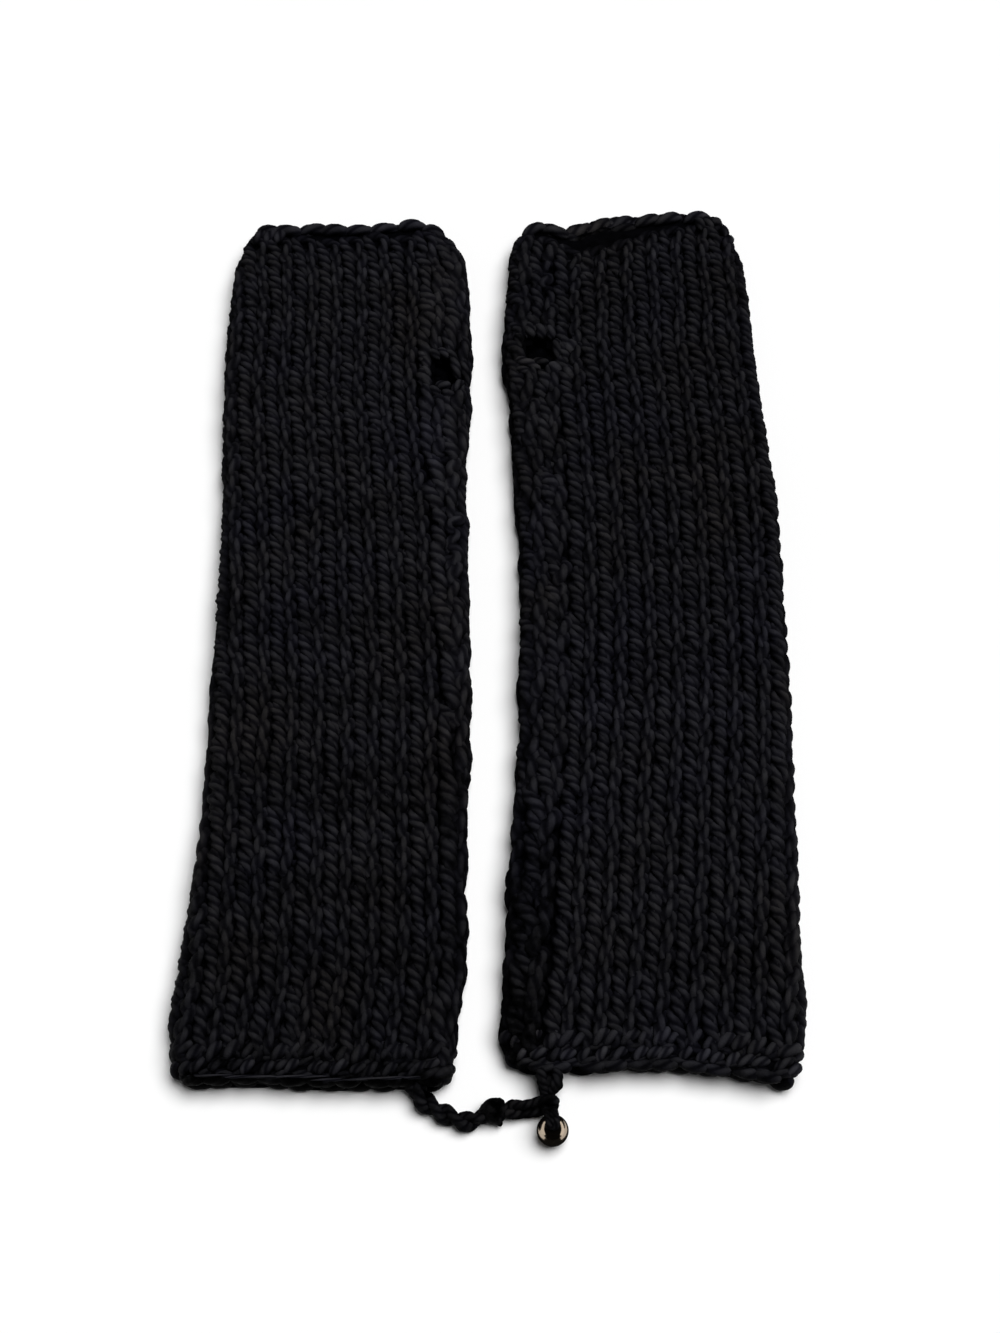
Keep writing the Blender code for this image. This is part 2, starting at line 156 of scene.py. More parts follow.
class FlatTube:
    """The cloth of one arm warmer. Around it, 0 to 1 is the front, 1 to 2 the outer fold, 2 to 3 the back
    and 3 to 4 the sewn fold."""

    def __init__(self, name, sections, edges, hole):
        self.name, self.hole = name, hole
        self.seam_x, self.fold_x, self.strip, self.height = (
            smooth_curve(STATION_PLACES, column) for column in zip(*sections)
        )
        across, *columns = zip(*edges)
        self.lower_y, self.upper_y, self.front_short = (smooth_curve(across, column) for column in columns)
        self.outward = math.copysign(1.0, self.fold_x(0.0) - self.seam_x(0.0))
        self.length = float(self.upper_y(0.5) - self.lower_y(0.5))

    def section(self, along):
        """The centres of the two folds and their radius."""
        radius = self.height(along) / 2
        return self.seam_x(along) + self.outward * radius, self.fold_x(along) - self.outward * radius, radius

    def point(self, around, along, depth):
        """Points in metres, from arrays of places round and along the tube and depths below its face."""
        around, along, depth = np.broadcast_arrays(np.asarray(around) % 4, along, depth)
        seam_centre, fold_centre, radius = self.section(along)
        reach = radius - depth
        flat = fold_centre - seam_centre
        side = around.astype(int)
        turn = (around - side) * math.pi
        swing, lift = self.outward * reach * np.sin(turn), reach * np.cos(turn)
        front, back = seam_centre + flat * around, fold_centre - flat * (around - 2)
        x = np.choose(side, [front, fold_centre + swing, back, seam_centre - swing])
        z = np.choose(side, [radius + reach, radius + lift, radius - reach, radius - lift])
        across = ((x - seam_centre) * self.outward + radius) / (np.abs(flat) + 2 * radius)
        short = self.front_short(across) * z / (2 * radius)
        lower = self.lower_y(across)
        y = lower + (self.upper_y(across) - short - lower) * along
        return np.stack([x, y, z], axis=-1) * MM

    def seams(self, along):
        """The places round the tube of the seam lines on the front and on the back."""
        seam_centre, fold_centre, radius = self.section(along)
        flat = np.abs(fold_centre - seam_centre)
        return (self.strip(along) - radius) / flat, 3 - (UNDER_STRIP - radius) / flat

    def arcs(self, along):
        """The lengths of one flat side and of one fold, down the middle of the cloth."""
        seam_centre, fold_centre, radius = self.section(along)
        return np.abs(fold_centre - seam_centre), math.pi * (radius - MIDDLE_DEPTH)

    def girth(self, along):
        return 2 * float(sum(self.arcs(along)))

    def from_hole(self, x, y, margin):
        """How far a place on the front is from the opening's middle, with 1 a margin outside its edge."""
        hole = self.hole
        return np.hypot((x - hole.x) / (hole.half_width + margin), (y - hole.y) / (hole.half_length + margin))

    def from_seam(self, seam, along, distance):
        """The place round the tube at a distance from a seam, over the next fold to the other flat side."""
        flat, fold = self.arcs(along)
        start, fold_start = self.seams(along)[seam], 1 + 2 * seam
        before = flat * (fold_start - start)
        on_fold = fold_start + (distance - before) / fold
        after_fold = fold_start + 1 + (distance - before - fold) / flat
        over = np.where(distance < before + fold, on_fold, after_fold)
        return np.where(distance < before, start + distance / flat, over)

    def panel_length(self, along):
        """How far the panel runs on the front, round the outer fold and on the back."""
        (flat, fold), (front, back) = self.arcs(along), self.seams(along)
        return flat * (1 - front), fold, flat * (back - 2)

    def strip_length(self, along):
        (flat, fold), (front, back) = self.arcs(along), self.seams(along)
        return flat * (3 - back) + fold + flat * front

    def ring_place(self, along, share):
        """The place round the tube at a share of its whole way round, from the front's sewn side."""
        flat, fold = self.arcs(along)
        half = flat + fold
        distance = (share % 1.0) * 2 * half
        on_back = distance >= half
        distance = distance - half * on_back
        place = np.where(distance < flat, distance / flat, 1 + (distance - flat) / fold)
        return place + 2 * on_back


STATION_PLACES, LEFT_SECTIONS, RIGHT_SECTIONS = zip(*STATIONS)
LEFT = FlatTube("left", LEFT_SECTIONS, LEFT_EDGES, ThumbHole(-19.1, 112.1, 5.3, 6.8))
RIGHT = FlatTube("right", RIGHT_SECTIONS, RIGHT_EDGES, ThumbHole(17.1, 122.4, 5.0, 6.0))

# ---- yarn
YARN_RADIUS = 2.4
YARN_PLIES = 3
PLY_PITCH = 11.8
PLY_DEPTH = 0.33
SMOOTH_PLY_DEPTH = 0.2
SMOOTH_PLY_TURNS = 0.5
HOLE_PLY_PITCH = 13.0
UNTWISTED = 1e6
FOLD_PLY_SHARE = 0.3
# Painted shade on the yarn: GROOVE_LIGHT is the painted light left between the plies, and FLANK_SHADE is the
# turn's cosine at which the painted shade on the flanks, turned away from the cloth's outside, is darkest.
GROOVE_LIGHT = 0.2
RING_TWIST_LIMIT = 0.72
FLANK_SHADE = -0.08
FLOOR_CLEARANCE = 0.05 * MM
UP = np.array((0.0, 0.0, 1.0))


class Wander:
    """Smooth random change along a yarn, from -1 to 1, with a step between its own random values."""

    def __init__(self, random, length, step):
        self.step = step
        self.values = random.uniform(-1, 1, int(length / step) + 3)

    def __call__(self, place):
        place = np.asarray(place) / self.step
        row = np.clip(place.astype(int), 0, len(self.values) - 2)
        share = np.clip(place - row, 0, 1)
        share = share * share * (3 - 2 * share)
        return self.values[row] * (1 - share) + self.values[row + 1] * share


def unit(vectors):
    return vectors / np.linalg.norm(vectors, axis=1, keepdims=True)


def gaps(path):
    """The distances from each point of a path to the next."""
    return np.linalg.norm(np.diff(path, axis=0), axis=1)


def directions(path, ups=UP):
    """Unit vectors square to a path, one towards its up side and one across it."""
    tangent = unit(np.gradient(path, axis=0))
    normal = unit(ups - (ups * tangent).sum(axis=1, keepdims=True) * tangent)
    return normal, np.cross(tangent, normal)


class YarnMesh:
    """Many yarns gathered into one mesh, with each point's painted light and shade and its yarn's tone."""

    def __init__(self):
        self.points, self.faces, self.lights, self.tones = [], [], [], []
        self.count = 0

    def add(self, path, ups, radius, sides, tone, start_twist, pitch, depth, light=1.0):
        """Adds a plied yarn along a path, in metres. Its rings turn with the twist, so that the grooves run
        along the mesh's edges, but never so far that the yarn thins between two rings. The grooves are
        shallower where the cloth turns over."""
        count = len(path)
        ups = np.broadcast_to(ups, path.shape)
        radius = np.broadcast_to(radius, count) * MM
        normal, across = directions(path, ups)
        rates = TAU / np.broadcast_to(pitch, count)
        turns = np.minimum(gaps(path) / MM * rates[1:], RING_TWIST_LIMIT)
        twist = start_twist - np.concatenate([[0.0], np.cumsum(turns)])
        angle = math.pi / YARN_PLIES + TAU * np.arange(sides) / sides
        crown = np.abs(np.cos(YARN_PLIES * angle / 2)) ** 0.6
        depth = depth * (FOLD_PLY_SHARE + (1 - FOLD_PLY_SHARE) * np.clip(ups[:, 2], 0, 1))
        reach = radius[:, None] * (1 - depth[:, None] * (1 - crown))
        turned = angle + twist[:, None]
        ring = (
            path[:, None]
            + (reach * np.cos(turned))[..., None] * normal[:, None]
            + (reach * np.sin(turned))[..., None] * across[:, None]
        )
        ring[:, :, 2] = np.maximum(ring[:, :, 2], FLOOR_CLEARANCE)
        self.points.append(ring.reshape(-1, 3))
        # Painted shade: darker between the plies, on the flanks turned away from the cloth's outside and where
        # the given light is lower, kept per point as its painted light.
        facing = np.clip((np.cos(turned) - FLANK_SHADE) / (1 - FLANK_SHADE), 0, 1)
        light = np.broadcast_to(light, count)[:, None]
        self.lights.append(((GROOVE_LIGHT + (1 - GROOVE_LIGHT) * crown) * facing * light).ravel())
        self.tones.append(np.full(count * sides, tone))
        along = self.count + np.arange(count - 1)[:, None] * sides
        here = np.arange(sides)
        beside = (here + 1) % sides
        quads = np.stack([along + here, along + beside, along + sides + beside, along + sides + here], -1)
        self.faces.append(quads.reshape(-1, 4))
        self.count += count * sides

    def build(self, name, material):
        points = np.concatenate(self.points)
        faces = np.concatenate(self.faces)
        mesh = bpy.data.meshes.new(name)
        mesh.vertices.add(len(points))
        mesh.vertices.foreach_set("co", points.astype(np.float32).ravel())
        mesh.loops.add(faces.size)
        mesh.loops.foreach_set("vertex_index", faces.astype(np.int32).ravel())
        mesh.polygons.add(len(faces))
        mesh.polygons.foreach_set("loop_start", np.arange(0, faces.size, 4, dtype=np.int32))
        mesh.update(calc_edges=True)
        mesh.polygons.foreach_set("use_smooth", np.ones(len(faces), dtype=bool))
        for label, values in (("painted_light", self.lights), ("yarn_tone", self.tones)):
            layer = mesh.attributes.new(label, "FLOAT", "POINT")
            layer.data.foreach_set("value", np.concatenate(values).astype(np.float32))
        mesh.materials.append(material)
        return add_object(name, mesh)


def laid_on(tube, around, along, depth):
    """A path on the cloth, and the unit vectors that point out of the cloth along it."""
    outer, inner = (tube.point(around, along, MIDDLE_DEPTH + step) for step in (-0.5, 0.5))
    return tube.point(around, along, depth), unit(outer - inner)


def rounded_off(run):
    """The thickness of a short strand, from -1 to 1 along it."""
    return np.sqrt(np.clip(1.03 - np.abs(run) ** 3, 0, 1))


def ends_tapered(count, rings=3):
    """A radius that closes a yarn at both ends."""
    taper = np.ones(count)
    steps = np.sqrt(np.linspace(0.0, 1.0, rings + 1)[:-1]) + 0.02
    taper[:rings] = steps
    taper[-rings:] = steps[::-1]
    return taper


# ---- the stockinette
ROW_HEIGHT = 7.2
ROWS_UNDER_BORDER = 0.5
ROWS_SHORT_OF_EDGE = 8.0
WALES = 16
WALE_WIDTHS = {"left": 9.85, "right": 10.3}
WALE_DRIFT = 0.05
STITCH_RISE = 6.8
STITCH_SWING = 0.222
STITCH_ROLL = 1.3
LEG_CROWDING = 0.18
LEG_FATNESS = 0.05
LEG_TWIST = 0.32
LEFT_LEG_LIFT = -0.12
# Painted shade: RIGHT_LEG_LIGHT darkens the right legs a little, and HEAD_SHADE darkens the heads and feet
# behind the legs.
RIGHT_LEG_LIGHT = -0.04
HEAD_SHADE = 0.5
FOLD_TUCK = 1.0
UNEVENNESS = 1.7
PANEL_TONES = {"left": 0.0, "right": 0.2}
# Painted light: each panel's rows are lighter towards the upper end and darker towards the lower end, by these
# slopes of tone.
PANEL_PAINTED_LIGHT_SLOPES = {"left": 1.9, "right": 0.1}
MOUTH_SAG = 5.0
CORNER_DROP = {"left": 0.0, "right": 3.6}
# A yarn's points in a stitch and round itself, where it is seen and underneath.
SEEN_DETAIL = (26, 9)
HIDDEN_DETAIL = (14, 8)

STRIP_ROW_HEIGHT = 8.2
STRIP_WALE_WIDTH = 10.2
STRIP_MARGIN = 1.0
STRIP_STRETCH = 1.1
STRIP_SHORTEST = 8
STRIP_UNEVENNESS = 3.8
STRIP_THICKNESS = 1.16
STRIP_PLY_DEPTH = 0.24
STRIP_TONES = {"left": 1.6, "right": -0.2}
# Painted shade on the sewn strip: its rows are darker by this much up to the first share along the tube,
# fading out by the second.
STRIP_PAINTED_SHADE = {"left": 2.9, "right": 2.2}
STRIP_PAINTED_SHADE_SHARES = {"left": (0.30, 0.42), "right": (0.14, 0.26)}
HOLE_MARGIN = 1.6


def stitch_row(random, tube, wales, steps_per_stitch, unevenness):
    """One row's yarn: at each point its place across in stitches, its rise, its height above the cloth's
    middle, its radius, its plies' pitch and its painted light. A stitch's two legs lie on the face and its
    head and foot behind, darkened with painted shade; the right legs are a little darker with painted shade,
    and the left legs are twisted tighter."""
    steps = np.linspace(0.0, 1.0, steps_per_stitch * wales + 1) * wales
    turn = TAU * steps
    turn = turn + LEG_CROWDING * np.sin(2 * turn)
    sway, lift, thick, tall, bulge = (
        Wander(random, wales, step)(steps) for step in (0.5, 0.5, 0.4, 1.0, 0.5)
    )
    leftness = tube.outward * np.sin(turn)
    across = turn / TAU + STITCH_SWING * np.sin(2 * turn) + 0.045 * unevenness * sway
    rise = -STITCH_RISE * np.cos(turn) * (1 + 0.10 * unevenness * tall) + 0.55 * unevenness * lift
    height = -STITCH_ROLL * np.cos(2 * turn) + LEFT_LEG_LIFT * leftness + 0.35 * unevenness * bulge
    radius = YARN_RADIUS * (1 + 0.06 * unevenness * thick + LEG_FATNESS * leftness)
    pitch = PLY_PITCH / (1 + LEG_TWIST * leftness + 0.15 * sway)
    # Painted shade: darker heads and feet, and slightly darker right legs.
    light = 1 - HEAD_SHADE * (1 + np.cos(2 * turn)) / 2 + RIGHT_LEG_LIGHT * np.clip(-leftness, 0, 1)
    return across, rise, height, radius, pitch, light


def fold_calm(around):
    """How much of the stitches' unevenness is left: all on the flat sides, half at a fold's crest."""
    return 0.5 + np.minimum(np.abs(np.asarray(around) % 2 - 1.5), 0.5)


def stitch_depth(around, height):
    """How deep a stitch's yarn lies. It is drawn in at the folds."""
    calm = fold_calm(around)
    return MIDDLE_DEPTH + FOLD_TUCK * (1 - calm) - height * calm


def row_places(tube, row_height):
    """The rows' places along the tube. The first row starts behind the border, and the last stops short of
    the bind-off chain."""
    first = (BORDER_LENGTH - ROWS_UNDER_BORDER) / tube.length
    last = 1 - (UPPER_EDGE_LENGTH + ROWS_SHORT_OF_EDGE) / tube.length
    count = round((last - first) * tube.length / row_height)
    return [first + (last - first) * row / count for row in range(count + 1)]


def mouth_sag(tube, around, along):
    """How far the front's last rows are pulled down where the upper edge is drawn in."""
    short = np.where(around <= 1, tube.front_short(around), 0)
    drawn_in = np.clip((short - EDGE_SAG_START) / 3.5, 0, 1)
    return MOUTH_SAG * drawn_in * np.interp(along, (0.90, 0.98), (0, 1))


def corner_drop(tube, around):
    """How far the upper edge is drawn down at the outer fold."""
    return CORNER_DROP[tube.name] * np.clip(1 - np.abs(around - 1.5) / 0.7, 0, 1)


def knit_panel(tube, front, back, random):
    """The body's rows, from the front seam over the outer fold to the back seam. A row's yarn is cut into a
    seen part and a part underneath, which has fewer points."""
    wale_width = WALE_WIDTHS[tube.name]
    places = row_places(tube, ROW_HEIGHT)
    drift = [Wander(random, len(places), 7.0) for _ in range(WALES + 1)]
    for row, along_row in enumerate(places):
        front_length, fold_length, _ = tube.panel_length(along_row)
        seen_stitches = math.ceil((front_length + fold_length / 2) / wale_width + 0.3)
        for mesh, first, last, (steps, sides) in (
            (front[row * len(front) // len(places)], 0, seen_stitches, SEEN_DETAIL),
            (back, seen_stitches, WALES, HIDDEN_DETAIL),
        ):
            across, rise, height, radius, pitch, light = stitch_row(
                random, tube, last - first, steps, UNEVENNESS
            )
            across = across + first
            along = along_row + rise / tube.length
            wandering = [wander(row) for wander in drift]
            across = across + WALE_DRIFT * np.interp(across, range(WALES + 1), wandering)
            front_length, fold_length, back_length = tube.panel_length(along)
            seen = (front_length + fold_length / 2) / wale_width
            hidden_width = (fold_length / 2 + back_length) / (WALES - seen)
            hidden = seen * wale_width + (across - seen) * hidden_width
            distance = np.where(across < seen, across * wale_width, hidden)
            around = tube.from_seam(FRONT_SEAM, along, distance)
            corner = corner_drop(tube, around) * np.interp(along, (0.93, 1.0), (0.0, 1.0))
            along = along - (mouth_sag(tube, around, along) + corner) / tube.length
            path, ups = laid_on(tube, around, along, stitch_depth(around, height))
            radius = radius * ends_tapered(len(path))
            # Painted light: the row's tone rises towards the upper end.
            painted_light_offset = PANEL_PAINTED_LIGHT_SLOPES[tube.name] * (along_row - 0.5)
            tone = PANEL_TONES[tube.name] + random.uniform(-1, 1) + painted_light_offset
            twist = random.uniform(0, TAU)
            mesh.add(path, ups, radius, sides, tone, twist, pitch, PLY_DEPTH, light)


def seam_strip(tube, mesh, random):
    """The sewn strip's larger, uneven stitches, which stop at the thumb opening."""
    steps, sides = SEEN_DETAIL
    for along_row in row_places(tube, STRIP_ROW_HEIGHT):
        wales = max(2, round(float(tube.strip_length(along_row)) / STRIP_WALE_WIDTH))
        across, rise, height, radius, pitch, light = stitch_row(random, tube, wales, steps, STRIP_UNEVENNESS)
        along = along_row + rise * STRIP_STRETCH / tube.length
        distance = STRIP_MARGIN + across / wales * (tube.strip_length(along) - 2 * STRIP_MARGIN)
        around = tube.from_seam(BACK_SEAM, along, distance)
        path, ups = laid_on(tube, around, along, stitch_depth(around, height))
        twist = random.uniform(0, TAU)
        # Painted shade: the strip's lower rows are darker.
        painted_shade_tone = STRIP_PAINTED_SHADE[tube.name] * np.interp(along_row, STRIP_PAINTED_SHADE_SHARES[tube.name], (1, 0))
        tone = STRIP_TONES[tube.name] - painted_shade_tone + random.uniform(-1, 1)
        away = tube.from_hole(path[:, 0] / MM, path[:, 1] / MM, HOLE_MARGIN)
        kept = (away > 1) | (ups[:, 2] < 0.5)
        ends = np.flatnonzero(np.diff(np.concatenate([[0], kept, [0]])))
        for start, stop in zip(ends[::2], ends[1::2]):
            if stop - start < STRIP_SHORTEST:
                continue
            part = slice(start, stop)
            thickness = radius[part] * STRIP_THICKNESS * ends_tapered(stop - start)
            plies = (twist, pitch[part], STRIP_PLY_DEPTH)
            mesh.add(path[part], ups[part], thickness, sides, tone, *plies, light[part])


# ---- the rims
STRAND_SIDES = 12
BORDER_TONES = {"left": -1.0, "right": 1.4}
# The thin thread along the left border's edge is a real strand; its lighter tone is a painted highlight.
EDGE_THREAD_TONE = 1.4
EDGE_THREAD_WAVES = 5
# Painted shade: the corded rim's lumps are darkened, most on the left tube.
RIM_PAINTED_SHADE_TONES = {"left": -4.4, "right": -0.6}
RIM_UNEVENNESS = {"left": 0.14, "right": 0.3}
UNDER_RIM_RISE = {"left": 0.7, "right": 1.5}
# The lumps of the left border's corner: the share of the way round, the rise and the radius of each.
CORNER_LUMPS = [(0.985, 3.4, 2.4), (0.962, 2.9, 2.5), (0.004, 2.6, 2.2)]
CHAIN_SPACING = 9.4
CHAIN_STAND = 3.8
EDGE_SAG_START = 5

# A short strand round a rim: how far it reaches each way, how deep it lies, how much deeper its ends dip, its
# radius, its tone, how far its middle arches along the tube, how much deeper it is tucked at the folds, and
# whether its inner side is the one that is seen.
Strand = namedtuple("Strand", "reach depth dip radius tone arch tuck inner", defaults=(0.0, 0.0, 0.6, False))


class Rim:
    """Short strands round a tube, gathered into one mesh."""

    def __init__(self, tube, mesh, random):
        self.tube, self.mesh, self.random = tube, mesh, random

    def shares(self, rise, spacing, unevenness=0.2):
        """Shares of the way round the tube, about a spacing apart."""
        count = round(self.tube.girth(rise / self.tube.length) / spacing)
        return [(index + self.random.uniform(-unevenness, unevenness)) / count for index in range(count)]

    def add(self, share, rise, strand):
        """Adds a strand whose middle lies at a share of the way round the tube, in millimetres from the
        elbow end."""
        tube, random = self.tube, self.random
        run = np.linspace(-1, 1, 11)
        shares = share + tube.outward * run * strand.reach[0] / tube.girth(rise / tube.length)
        alongs = (rise + run * strand.reach[1] + strand.arch * (1 - run**2)) / tube.length
        around = tube.ring_place(alongs, shares)
        depth = strand.depth + strand.dip * run**2 + 2 * strand.tuck * (1 - fold_calm(around))
        path, ups = laid_on(tube, around, alongs, depth)
        ups = -ups if strand.inner else ups
        thickness = strand.radius * rounded_off(run)
        tone = strand.tone + random.uniform(-1, 1)
        twist = random.uniform(0, TAU)
        pitch = 2 * math.hypot(*strand.reach) / SMOOTH_PLY_TURNS
        self.mesh.add(path, ups, thickness, STRAND_SIDES, tone, twist, pitch, SMOOTH_PLY_DEPTH)


def lower_border(rim, name):
    """The chain border: tall leaning strands above, short leaning strands below, a filling under both, a
    thin thread along the left one's edge, lighter as a painted highlight, and the dark lumps of the corded
    rim, darkened with painted shade."""
    vary = rim.random.uniform
    for share in rim.shares(11.0, 5.2):
        lean = vary(0.8, 1.25)
        rise = 10.4 + vary(-0.7, 0.7)
        reach = (3.2 * lean, 2.8 / lean)
        depth = vary(0.9, 1.6)
        rim.add(share, rise, Strand(reach, depth, dip=2.0, radius=vary(2.0, 2.5), tone=BORDER_TONES[name]))
    for share in rim.shares(4.0, 5.2, 0.3):
        rise = 4.8 + vary(-0.6, 0.6)
        reach = (vary(2.0, 3.2), vary(1.0, 2.6))
        tone = BORDER_TONES[name] + vary(-1.5, 1.5)
        rim.add(share, rise, Strand(reach, vary(1.0, 2.0), dip=1.4, radius=1.9, tone=tone))
    for rise in (7.4, 2.6):
        for share in rim.shares(rise, 7.0, 0.35):
            reach = (vary(3.0, 4.5), vary(-1.0, 1.4))
            rim.add(share, rise, Strand(reach, vary(2.4, 3.0), dip=1.0, radius=1.7, tone=-2.0))
    if name == "left":
        for share in rim.shares(1.0, 14.0, 0.1):
            reach = (vary(9.0, 11.0), vary(-0.2, 0.5))
            rise = 1.1 + 0.35 * math.sin(TAU * EDGE_THREAD_WAVES * share)
            # Painted highlight: the thread's lighter tone.
            rim.add(share, rise, Strand(reach, 1.15, dip=0.3, radius=0.62, tone=EDGE_THREAD_TONE))
    for share in rim.shares(1.0, 8.6, RIM_UNEVENNESS[name]):
        around = float(rim.tube.ring_place(0.0, share))
        rise = 2.0 + vary(-0.3, 0.3) + UNDER_RIM_RISE[name] * (2 < around < 3)
        reach = (5.2, vary(-0.4, 0.4))
        # Painted shade: the lumps take the rim's darkened tone.
        lump = Strand(reach, 2.9, 0.9, vary(2.0, 2.4), RIM_PAINTED_SHADE_TONES[name], arch=-1.2, tuck=-0.9)
        rim.add(share, rise, lump)


def border_corner(rim):
    """The bulky end of the left border at its sewn fold, where the loop starts."""
    for share, rise, radius in CORNER_LUMPS:
        rim.add(share, rise, Strand((4.4, 0.9), 1.7, 0.9, radius, BORDER_TONES["left"] - 1.0))


def chain_stand(tube, around):
    """How much the back's chain stands up behind the front's drawn-in edge, from 0 to about 1."""
    on_back = (around >= 2) & (around <= 3)
    return np.where(on_back, tube.front_short(3 - around) / 12, 0.0)


def upper_edge(rim):
    """The bind-off chain: arched lumps along the rim, each over the end of the next, lighter with painted
    light.
    Where the front's edge sags it lies deeper and darker with painted shade, and the back's chain stands up
    behind it. Upright strands join the chain to the last row at the folds."""
    vary, tube = rim.random.uniform, rim.tube
    top = tube.length
    for share in rim.shares(top, CHAIN_SPACING, 0.12):
        around = float(tube.ring_place(1.0, share))
        short = float(tube.front_short(around)) if around <= 1 else 0.0
        sag = 1.5 * max(0.0, short - EDGE_SAG_START)
        stand = float(chain_stand(tube, around))
        depth = 1.6 + 0.75 * sag
        # Painted light and shade: the chain is lighter, and darker where the edge sags.
        tone = 1.5 - sag
        corner = float(corner_drop(tube, around))
        rise = top - 1.9 - corner + CHAIN_STAND * stand - 0.5 * sag + vary(-0.4, 0.4)
        reach = (6.2, vary(-0.3, 0.9))
        radius = vary(2.3, 2.7) + stand
        lump = Strand(reach, depth, 1.6, radius, tone, arch=vary(0.8, 1.5), inner=stand > 0.1)
        rim.add(share, rise, lump)
        if stand > 0.1:
            continue
        rise = top - 2.2 + CHAIN_STAND * stand - 0.5 * sag + vary(-0.4, 0.4)
        beside = share + 0.5 * CHAIN_SPACING / tube.girth(1.0)
        # Painted shade: the strand beneath the chain is darker.
        under = Strand((5.8, vary(-0.8, 0.2)), depth + 2.2, 1.0, 2.2, tone - 1.5, arch=0.8)
        rim.add(beside, rise, under)
    for share in rim.shares(top - 6, 4.6):
        around = float(tube.ring_place(1.0, share))
        if abs(around % 2 - 1.5) < 0.62:
            rise = top - 5.4 - float(corner_drop(tube, around)) + vary(-0.5, 0.5)
            rim.add(share, rise, Strand((0.8, 3.4), 1.5, 0.6, 2.3))


# Each strand's two ends, across and along from a thumb opening's middle, its radius and its tone.
LEFT_HOLE_STRANDS = [
    (-8.6, 6.5, -7.0, 1.6, 2.0, 1.5),
    (-8.2, 1.8, -6.9, -2.6, 2.2, 2.0),
    (-8.4, -2.6, -7.0, -7.4, 2.1, 1.0),
    (-6.4, 9.8, -2.6, 6.2, 1.9, 1.0),
    (-2.8, 10.4, 1.2, 6.4, 1.9, 2.0),
    (0.6, 9.8, 3.8, 5.2, 1.8, 0.5),
    (2.6, 8.0, 5.0, -3.4, 2.1, 0.5),
    (6.2, 8.2, 8.6, -5.0, 1.9, -1.0),
    (-3.6, -7.2, 1.8, -6.8, 2.0, 2.5),
    (2.8, -10.0, 6.6, -4.2, 1.8, 1.5),
    (-6.2, -8.0, -2.4, -11.5, 2.0, 0.0),
]
RIGHT_HOLE_STRANDS = [
    (-9.6, -4.2, 0.6, -8.8, 2.3, 2.5),
    (-9.0, -9.0, -1.6, -12.4, 1.9, 1.0),
    (-3.0, -6.2, 3.8, -6.0, 1.9, -1.0),
    (5.2, -7.0, 7.0, -11.0, 3.2, 2.0),
    (11.2, -8.6, 11.8, -13.4, 2.8, 1.5),
    (12.2, 4.2, 12.8, -0.8, 3.2, 3.0),
    (6.8, 5.6, 7.4, -4.0, 2.0, 0.0),
    (-4.8, 13.2, -2.4, 7.0, 2.6, 1.0),
    (0.2, 12.8, 1.6, 6.6, 2.6, 1.5),
    (4.4, 12.4, 5.2, 6.0, 2.3, 0.5),
    (-8.4, 8.0, -7.4, 0.8, 2.0, -1.5),
]


def thumb_rim(tube, strands, mesh, random):
    """The yarn round the thumb opening, bowed over its edge."""
    hole = tube.hole
    along = (hole.y - float(tube.lower_y(0.1))) / tube.length
    top = float(tube.height(along))
    seam_x = float(tube.seam_x(along))
    run = np.linspace(-1, 1, 12)
    share = (run + 1) / 2
    for start_x, start_y, end_x, end_y, radius, tone in strands:
        x = hole.x + start_x + (end_x - start_x) * share
        y = hole.y + start_y + (end_y - start_y) * share
        inward = np.clip(top / 2 - np.abs(x - seam_x), 0, top / 2)
        drop = top / 2 - np.sqrt((top / 2) ** 2 - inward**2)
        path = np.stack([x, y, top - 0.4 - drop - 1.5 * run**2 - (radius - 2.1)], axis=-1)
        twist = random.uniform(0, TAU)
        thickness = radius * rounded_off(run)
        mesh.add(path * MM, UP, thickness, STRAND_SIDES, tone, twist, HOLE_PLY_PITCH, SMOOTH_PLY_DEPTH)


# ---- the button loop, the shank and the ball
# Its route points are in millimetres. The loop's two strands are twisted together from the left border to
# the knot, and part there to go round the shank's neck, one above and one below.
LOOP_CORD_ROUTE = [
    (-25.3, -175.8, 5.0), (-25.1, -177.0, 4.9), (-22.2, -180.2, 4.0), (-18.3, -182.6, 3.5),
    (-14.1, -184.8, 3.2), (-10.4, -186.1, 3.1), (-6.8, -186.0, 3.3), (-4.1, -184.8, 3.6),
]
LOOP_CORD_ROOT = (-25.5, -172.6, 5.4)
LOOP_KNOT_CENTRE = (0.0, -183.0, 3.9)
LOOP_EYE_UPPER = [
    (4.9, -182.0, 4.3), (6.2, -181.2, 5.0), (8.9, -181.6, 5.4), (12.9, -181.2, 6.6), (15.2, -180.8, 8.1),
    (17.2, -180.6, 8.8), (19.4, -180.7, 7.7), (20.3, -180.9, 5.6),
]
LOOP_EYE_LOWER = [
    (4.9, -183.5, 3.9), (6.4, -183.8, 3.6), (9.0, -183.4, 3.1), (13.5, -182.9, 2.6), (17.2, -181.5, 2.4),
    (19.4, -181.2, 3.4), (20.3, -180.9, 5.6),
]
LOOP_EYE_MIDDLE = [(6.3, -182.4, 4.3), (9.0, -182.1, 4.3), (13.2, -181.8, 4.6), (18.8, -181.0, 5.6)]
LOOP_STRAND_RADIUS = 2.05
LOOP_STRAND_SPREAD = 1.35
LOOP_TWIST_PITCH = 14.5
LOOP_EYE_STRAND_RADIUS = 1.8
LOOP_EYE_START_RADIUS = 2.3
LOOP_TONE = -2.8
KNOT_TONE = -4.0
CORD_STEP = 0.45
KNOT_PLY_PITCH = 7.5
KNOT_CORE_SHARE = 0.87
LOOP_KNOT_TAIL = [(0.6, -184.0, 3.6), (1.6, -186.0, 3.0), (2.3, -187.6, 2.1)]
SHANK_KNOT_CENTRE = (18.3, -174.4, 5.8)
